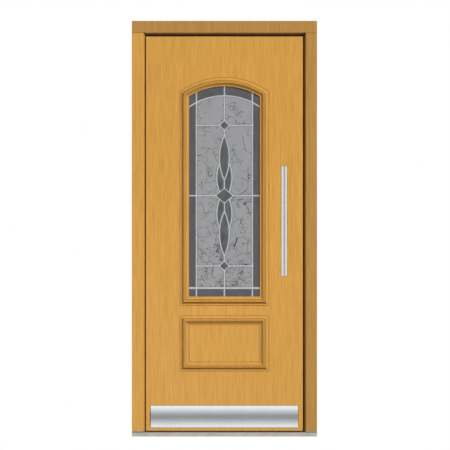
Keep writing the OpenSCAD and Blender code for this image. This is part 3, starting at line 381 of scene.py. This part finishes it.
FIGURED = {"Transmission Weight": 0.3, "IOR": 1.5}
field_glass = surface("field_glass", field_look, **FIGURED)
border_glass = surface("border_glass", plain_glass_look((0.108, 0.111, 0.118), (0.133, 0.136, 0.144)),
                       **FIGURED)
ornament_glass = surface("ornament_glass", plain_glass_look((0.080, 0.088, 0.088), (0.165, 0.176, 0.176)),
                         **FIGURED)
clear_glass = surface("clear_glass", clear_look, **{"Transmission Weight": 1.0, "IOR": 1.5})
print("glass:", field_glass.name, border_glass.name, ornament_glass.name, clear_glass.name)

# %% [markdown]
# ## Finishes on the solids
#
# Every solid takes one of these finishes. The solids' shapes are right, so they stay, and only the
# material in each one's slot changes.

# %% Give every solid its finish
FINISH = {
    leaf_oak: ["hinge_jamb", "outer_skin", "inner_skin", "light_moulding_arch", "light_moulding_left",
               "light_moulding_right", "light_moulding_bottom", "panel_moulding_top",
               "panel_moulding_bottom", "panel_moulding_left", "panel_moulding_right",
               "inside_panel_moulding", "bead_arch", "bead_left", "bead_right", "bead_bottom"],
    # Painted shade: the head and the lock-side jamb take the shaded oak.
    painted_shade_oak: ["lock_jamb", "frame_head"],
    core_wood: ["hinge_stile", "lock_stile", "top_rail", "mid_rail", "bottom_rail"],
    fibre_board: ["panel_core"],
    stone_base: ["threshold_base"],
    tread_metal: ["threshold_tread", "hinge_jamb_foot", "lock_jamb_foot", "glass_spacer", "lock_case"],
    seal_rubber: ["frame_seal", "bottom_sweep"],
    came_metal: ["came_net"],
    field_glass: ["field_glass"],
    border_glass: ["border_glass"],
    ornament_glass: ["ornament_glass"],
    clear_glass: ["inner_pane"],
    bar_steel: ["pull_bar", "lower_post", "upper_post"],
    plate_steel: ["kick_plate"],
    fitting_steel: ["strike_plate", "low_hinge_frame_wing", "mid_hinge_frame_wing", "high_hinge_frame_wing",
                    "low_hinge_pin", "mid_hinge_pin", "high_hinge_pin", "low_hinge_leaf_wing",
                    "mid_hinge_leaf_wing", "high_hinge_leaf_wing", "lock_faceplate", "key_cylinder",
                    "inside_long_plate", "lever_handle", "lever_spindle", "latch_bolt", "deadbolt",
                    "turn_knob"],
}
for finish, names in FINISH.items():
    for name in names:
        for place in nodes[name].material_slots:
            place.link = "OBJECT"
            place.material = finish
print("finished solids:", sum(len(names) for names in FINISH.values()), "of", len(nodes))

# %% [markdown]
# ## New pieces as arrays
#
# Each new piece below is worked out with numpy as one array of points and one of faces, and goes
# into a mesh in one step. Several copies of one shape become one piece, by adding an array of
# places to the shape's points.

# %% Mesh helpers
def ring_faces(rings, around):
    """Quads between neighbouring rings of points, each ring closed on itself."""
    i, j = np.meshgrid(np.arange(rings - 1), np.arange(around), indexing="ij")
    nxt = (j + 1) % around
    here, above = i * around, (i + 1) * around
    return np.stack([here + j, here + nxt, above + nxt, above + j], -1).reshape(-1, 4)


def piece(name, points, faces, material, body, slot, smooth=True):
    """Puts points and faces into a mesh, welds its poles, closes its rims and lets it ride on a body."""
    mesh = bpy.data.meshes.new(name)
    mesh.from_pydata(np.asarray(points).reshape(-1, 3).tolist(), [], [list(f) for f in faces])
    work = bmesh.new()
    work.from_mesh(mesh)
    bmesh.ops.remove_doubles(work, verts=work.verts, dist=1e-6)
    bmesh.ops.holes_fill(work, edges=work.edges, sides=0)
    bmesh.ops.recalc_face_normals(work, faces=work.faces)
    print(name, "volume (mm3):", round(1e9 * work.calc_volume(signed=True), 1),
          "open edges:", sum(not e.is_manifold for e in work.edges))
    work.to_mesh(mesh)
    work.free()
    mesh.polygons.foreach_set("use_smooth", np.full(len(mesh.polygons), smooth))
    mesh.materials.append(material)
    made = bpy.data.objects.new(name, mesh)
    bpy.context.scene.collection.objects.link(made)
    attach(made, body)
    print(name, "points:", len(mesh.vertices), "faces:", len(mesh.polygons), "on", body)
    return made


# %% [markdown]
# ## Bevelled ornament
#
# The lozenges, spindles and petals in the middle of the light are bevelled glass: thin where the
# came grips them, full in the middle. The solid stands for them with flat glass. Here each one is a
# loft: at every height a section of six points, back, rim, bevel and flat, between an inner and an
# outer edge that are functions of the height. The edges are the same arcs and straight lines that
# the cames follow, less half a came.

# %% Bevelled lozenges, spindles and petals
PATTERN_Z, CROSS_BAR = 1.275, 0.372
SMALL_LOZENGE, LARGE_LOZENGE = (0.026, 0.026), (0.047, 0.039)
SPINDLE_AT, SPINDLE = 0.200, (0.026, 0.118)
PETAL_AT, PETAL = 0.096, (0.040, 0.120)
CAME_FACE, HALF_HEART = -0.022, 0.0008
GLASS_BACK, GLASS_RIM, GLASS_FLAT, BEVEL = -0.0171, -0.0209, -0.0258, 0.009


def arc_edge(z, size, at):
    """Half width of a leaf shape at height z: an arc through both tips and the widest point."""
    a, b = size
    r = (a * a + b * b) / (2 * a)
    return np.sqrt(np.maximum(r * r - (z - at) ** 2, 0.0)) - (r - a)


def lozenge_edge(z, size, at):
    """Half width of a lozenge at height z: a straight line from the widest point to the tip."""
    a, b = size
    return a * (1 - np.abs(z - at) / b)


def bevelled(z, inner, outer):
    """A loft of six-point sections along z: the bevel rises from each edge, less where it is narrow."""
    reach = np.minimum(BEVEL, 0.49 * (outer - inner))
    flat = GLASS_RIM + (GLASS_FLAT - GLASS_RIM) * reach / BEVEL
    back, rim = np.full_like(z, GLASS_BACK), np.full_like(z, GLASS_RIM)
    x = np.stack([inner, inner, inner + reach, outer - reach, outer, outer], 1)
    y = np.stack([back, rim, flat, flat, rim, back], 1)
    points = np.stack([x, y, np.repeat(z[:, None], 6, 1)], 2)
    caps = [list(range(6)), list(range(6 * len(z) - 1, 6 * len(z) - 7, -1))]
    return points.reshape(-1, 3), ring_faces(len(z), 6)[:, ::-1].tolist(), caps


def joined(parts):
    """Several lofts as one list of points and one of faces."""
    points, faces, start = [], [], 0
    for made, quads, caps in parts:
        points.append(made)
        faces += [[i + start for i in f] for f in quads + [c[::-1] for c in caps]]
        start += len(made)
    return np.concatenate(points), faces


def upright_range(low, high, steps=33):
    """Heights between two ends, closer together near the ends."""
    return low + (high - low) * (1 - np.cos(np.linspace(0, np.pi, steps))) / 2


GAP = HALF_HEART + 0.0001
TIP, NARROWEST = 0.0001, 0.0008
lofts = []
for size, at in [(LARGE_LOZENGE, 0.0), (SMALL_LOZENGE, CROSS_BAR), (SMALL_LOZENGE, -CROSS_BAR)]:
    z = np.sort(np.append(upright_range(at - size[1] + 2 * GAP, at + size[1] - 2 * GAP, 32), at))
    half = np.maximum(lozenge_edge(z, size, at) - 1.4 * GAP, TIP)
    lofts.append(bevelled(z + PATTERN_Z, -half, half))
for side in (-1, 1):
    at = side * SPINDLE_AT
    z = upright_range(at - SPINDLE[1] + 4 * GAP, at + SPINDLE[1] - 4 * GAP, 41)
    half = np.maximum(arc_edge(z, SPINDLE, at) - GAP, TIP)
    lofts.append(bevelled(z + PATTERN_Z, -half, half))

# The petals lie outside the lozenge and the spindle, so the further of those is their inner edge
def petal_edges(z):
    """Inner edge of a petal, the lozenge or spindle plus the gap, and outer edge, its arc less the gap."""
    spindle = np.where(np.abs(z - SPINDLE_AT) < SPINDLE[1], arc_edge(z, SPINDLE, SPINDLE_AT), 0.0)
    lozenge = lozenge_edge(z, LARGE_LOZENGE, 0.0) + 0.6 * GAP
    return np.maximum(np.maximum(lozenge, spindle), 0.0) + GAP, arc_edge(z, PETAL, PETAL_AT) - GAP


for side in (-1, 1):
    z = np.linspace(0.0, PETAL_AT + PETAL[1], 400)
    inner, outer = petal_edges(z)
    shown = np.flatnonzero(outer - inner > NARROWEST)
    z = upright_range(z[shown[0]], z[shown[-1]], 41)
    inner, outer = petal_edges(z)
    outer = np.maximum(outer, inner + 2 * TIP)
    up = np.sort(side * z) + PATTERN_Z
    order = np.argsort(side * z)
    lofts.append(bevelled(up, inner[order], outer[order]))
    lofts.append(bevelled(up, -outer[order], -inner[order]))

bevels = piece("bevelled_ornament", *joined(lofts), ornament_glass, "leaf", "ornament_glass", smooth=False)
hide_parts("ornament_glass")

# %% [markdown]
# ## Solder joints
#
# Where two cames meet they are soldered, and the solder stands as a low, round blot on the joint,
# front and back. Each is a dome on a polar grid whose rim wavers a little: its height falls with
# the square of the distance from the middle. One array of joints, taken from the lines of the
# pattern, places them all.

# %% Solder on the came joints
SIDE_CAME, SILL_CAME_Z, ARCH_CAME_Z, ARCH_CAME_R = 0.148, 0.786, 1.475, 0.328
CAME_DEPTH, SOLDER_SINK, SOLDER_RADIUS, SOLDER_RISE = 0.0059, 0.0001, 0.0062, 0.0008
DOME_RINGS, DOME_AROUND = 6, 20


def domes(centres, radius, height, seed):
    """Low domes on a polar grid: height times one less the squared distance, with a wavering rim."""
    rng = np.random.default_rng(seed)
    r = np.linspace(0.0, 1.0, DOME_RINGS)[:, None]
    a = np.linspace(0.0, 2 * np.pi, DOME_AROUND, endpoint=False)[None, :]
    wave = rng.uniform(0, 2 * np.pi, (len(centres), 3, 1, 1))
    rim = radius * (1 + 0.08 * np.sin(2 * a + wave[:, 0]) + 0.05 * np.sin(3 * a + wave[:, 1]))
    x, z = r * rim * np.cos(a), r * rim * np.sin(a)
    y = height * (1 - r ** 2) * np.ones_like(x)
    return x, y, z


joints = [(0.0, PATTERN_Z + s * v) for s in (-1, 1) for v in
          (LARGE_LOZENGE[1], SPINDLE_AT - SPINDLE[1], SPINDLE_AT + SPINDLE[1], CROSS_BAR - SMALL_LOZENGE[1],
           CROSS_BAR + SMALL_LOZENGE[1])]
joints += [(s * v, PATTERN_Z + w * CROSS_BAR)
           for s in (-1, 1) for w in (-1, 1) for v in (SMALL_LOZENGE[0], SIDE_CAME)]
joints += [(s * v, PATTERN_Z) for s in (-1, 1) for v in (LARGE_LOZENGE[0], SIDE_CAME)]
joints += [(s * SIDE_CAME, SILL_CAME_Z) for s in (-1, 0, 1)]
joints += [(s * SIDE_CAME, ARCH_CAME_Z + np.sqrt(ARCH_CAME_R ** 2 - (s * SIDE_CAME) ** 2))
           for s in (-1, 0, 1)]
joints = np.array(joints)
dx, dy, dz = domes(joints, SOLDER_RADIUS, SOLDER_RISE, 11)
at_x, at_z = joints[:, 0, None, None], joints[:, 1, None, None]
front = np.stack([at_x + dx, CAME_FACE + SOLDER_SINK - dy, at_z + dz], -1)
back = np.stack([at_x - dx, CAME_FACE + CAME_DEPTH + dy, at_z + dz], -1)
blots = np.concatenate([front, back])
quads = ring_faces(DOME_RINGS, DOME_AROUND)
first = np.arange(len(blots)) * DOME_RINGS * DOME_AROUND
solder_faces = (quads[None] + first[:, None, None]).reshape(-1, 4)
piece("solder_joints", blots, solder_faces, came_metal, "leaf", "came_metal")

# %% [markdown]
# ## Screws
#
# The hinge wings, the lock's faceplate and strike plate and the inside plate are held by raised
# countersunk screws. A head is a polar grid: a low dome, a cross recess where either of two
# crossing bars is near, and a short skirt down into the plate. The heads of one fitting form one
# piece that rides with it.

# %% Screw heads
RECESS, SKIRT = 0.0009, 0.0006


def screw_heads(places, radius, rise, turn_seed):
    """Dome less recess: rise times (1 - r squared), less the recess inside a soft-edged cross of bars."""
    rng = np.random.default_rng(turn_seed)
    r = np.concatenate([np.linspace(0.0, 0.62, 13), [0.75, 0.9, 1.0, 1.0]])[:, None]
    a = np.linspace(0.0, 2 * np.pi, 40, endpoint=False)[None, :]
    x, z = radius * r * np.cos(a), radius * r * np.sin(a)
    bar = np.minimum(np.abs(x), np.abs(z)) / (0.17 * radius)
    arm = np.maximum(np.abs(x), np.abs(z)) / (0.60 * radius)
    cross = np.clip(2.2 - 2.0 * np.maximum(bar, arm ** 4), 0.0, 1.0)
    out = rise * (1 - r ** 2) - RECESS * cross
    out[-1] = -SKIRT
    turn = rng.uniform(0, np.pi / 2, (len(places), 1, 1))
    u, v = x * np.cos(turn) - z * np.sin(turn), x * np.sin(turn) + z * np.cos(turn)
    return u, np.broadcast_to(out, u.shape), v


def screws(name, places, facing, body, radius=0.0045, rise=0.0007, seed=3):
    """Screw heads at the places, standing out along facing, which is +Y, +X or -X."""
    places = np.array(places)
    u, out, v = screw_heads(places, radius, rise, seed)
    at = places[:, None, None, :]
    axes = {"+Y": (-u, out, v), "+X": (out, u, v), "-X": (-out, -u, v)}[facing]
    points = np.stack(axes, -1) + at
    rows, around = points.shape[1:3]
    quads = ring_faces(rows, around)
    faces = (quads[None] + (np.arange(len(places)) * rows * around)[:, None, None]).reshape(-1, 4)
    return piece(name, points, faces, fitting_steel, body, "fittings_steel")


HINGE_ZS = {"low": 0.281, "mid": 1.0855, "high": 1.890}
WINGS = [("frame", -0.460), ("leaf", -0.412)]
WING_FACE, WING_STEP, WING_PITCH = 0.0431, 0.005, 0.037
FACEPLATE_X, STRIKE_X, LOCK_Y, LOCK_SCREW_ZS = 0.4341, 0.4379, 0.014, (0.895, 1.113)
LONG_PLATE_X, LONG_PLATE_FACE, LONG_PLATE_ZS = 0.374, 0.0481, (1.084, 0.924)
for which, z in HINGE_ZS.items():
    for body, x in WINGS:
        spots = [(x + s * WING_STEP, WING_FACE, z + dz)
                 for s, dz in [(1, -WING_PITCH), (-1, 0.0), (1, WING_PITCH)]]
        screws(f"{which}_hinge_{body}_screws", spots, "+Y", body, seed=int(1000 * z))
screws("faceplate_screws", [(FACEPLATE_X, LOCK_Y, z) for z in LOCK_SCREW_ZS], "+X", "leaf", 0.0042, 0.0005)
screws("strike_screws", [(STRIKE_X, LOCK_Y, z) for z in LOCK_SCREW_ZS], "-X", "frame", 0.0042, 0.0005)
screws("long_plate_screws", [(LONG_PLATE_X, LONG_PLATE_FACE, z) for z in LONG_PLATE_ZS], "+Y", "leaf",
       0.0042, 0.0006)

# %% [markdown]
# ## Floor and light
#
# The door stands on a plain pale floor before a white backdrop. The photograph's light comes from
# the upper right: slopes that face left or down are dark, and those that face right or up are as
# bright as the flat wood. So one large, distant area light does most of the work, with a dim even
# fill and a low light in front that leaves the top of the door a little darker. The pale floor
# would light the slopes from below, so it is kept out of the fill. Satin steel shows what stands
# round it: bright cards on the left and the right for the pull bar, and a sky that brightens away
# from the horizon, up and down, for the bowed kick plate. The pull bar throws no hard shadow in the
# photograph, so it doesn't block the key light.

# %% Floor, sky and key light
def floor_look(tree):
    """A pale floor with very soft clouds."""
    cloud = grain(tree, (1.5, 1.5, 1.5), 4.0, 0.5)
    return {"Base Color": ramp(tree, cloud, (0.3, 0.70), (0.7, 0.75)),
            "Roughness": levels(tree, cloud, 0.55, 0.65)}


FLOOR_HALF, FLOOR_CELLS, FLOOR_Z = 12.0, 8, -0.0005
edge = np.linspace(-FLOOR_HALF, FLOOR_HALF, FLOOR_CELLS + 1)
fx, fy = np.meshgrid(edge, edge, indexing="ij")
floor_points = np.stack([fx, fy, np.full_like(fx, FLOOR_Z)], -1).reshape(-1, 3)
i, j = np.meshgrid(np.arange(FLOOR_CELLS), np.arange(FLOOR_CELLS), indexing="ij")
near, far = i * (FLOOR_CELLS + 1) + j, (i + 1) * (FLOOR_CELLS + 1) + j
floor_faces = np.stack([near, far, far + 1, near + 1], -1).reshape(-1, 4)
floor_mesh = bpy.data.meshes.new("studio_floor")
floor_mesh.from_pydata(floor_points.tolist(), [], floor_faces.tolist())
floor_mesh.materials.append(surface("studio_floor", floor_look))
floor = bpy.data.objects.new("studio_floor", floor_mesh)
bpy.context.scene.collection.objects.link(floor)

world = bpy.data.worlds.new("studio_sky")
bpy.context.scene.world = world
world.use_nodes = True
sky = world.node_tree
sky.nodes.clear()
way = node(sky, "ShaderNodeSeparateXYZ", {0: node(sky, "ShaderNodeTexCoord").outputs["Generated"]})
looker = node(sky, "ShaderNodeLightPath").outputs
across = ramp(sky, levels(sky, way.outputs["X"], 0.0, 1.0, -1.0, 1.0),
              (0.0, 0.95), (0.27, 0.88), (0.38, 0.34), (0.70, 0.32), (0.84, 0.80), (1.0, 0.95))
upright = ramp(sky, levels(sky, way.outputs["Z"], 0.0, 1.0, -1.0, 1.0),
               (0.15, 0.3), (0.28, 1.15), (0.40, 0.60), (0.5, 0.26), (0.60, 0.64), (0.72, 1.25),
               (0.85, 0.3))
cards = tint(sky, across, upright, "LIGHTEN")
behind = ramp(sky, levels(sky, way.outputs["Y"], 0.0, 1.0, -1.0, 1.0), (0.48, 0.0), (0.56, 1.0))
room = tint(sky, cards, (1.0, 1.0, 1.0, 1.0), "MIX", behind)
soft = tint(sky, (0.05, 0.05, 0.06, 1.0), (0.6, 0.6, 0.6, 1.0), "MIX", behind)
glow = tint(sky, room, soft, "MIX", looker["Is Diffuse Ray"])
glow = tint(sky, glow, (1.0, 1.0, 1.0, 1.0), "MIX", looker["Is Camera Ray"])
backing = node(sky, "ShaderNodeBackground", {"Color": glow, "Strength": 1.0})
node(sky, "ShaderNodeOutputWorld", {"Surface": backing.outputs[0]})


def area_light(name, place, target, size, power):
    """A soft rectangular light at a place, turned to a target and unseen by the camera."""
    data = bpy.data.lights.new(name, "AREA")
    data.shape = "RECTANGLE"
    data.size, data.size_y, data.energy = *size, power
    made = bpy.data.objects.new(name, data)
    made.location = place
    made.rotation_euler = (Vector(target) - Vector(place)).to_track_quat("-Z", "Y").to_euler()
    made.visible_camera = False
    bpy.context.scene.collection.objects.link(made)
    return made


key = area_light("key_light", (12.2, -20.4, 14.2), (0.0, 0.0, 1.1), (5.5, 5.5), 8250.0)
fill = area_light("low_fill", (-0.6, -2.0, 0.35), (0.0, 0.0, 0.6), (1.6, 0.7), 7.6)
key.visible_glossy = fill.visible_glossy = False
floor.visible_diffuse = floor.visible_glossy = False


def left_out(name, members):
    """A collection that a light passes by: its members don't take part in what it is set for."""
    group = bpy.data.collections.new(name)
    for member in members:
        group.objects.link(member)
    for member in group.collection_objects:
        member.light_linking.link_state = "EXCLUDE"
    return group


pull = [nodes[name] for name in ("pull_bar", "lower_post", "upper_post")]
key.light_linking.blocker_collection = left_out("throws_no_key_shadow", pull)
fill.light_linking.receiver_collection = left_out("not_lit_by_the_fill", [floor])
print("light: sky and a key light of", key.data.energy, "W")
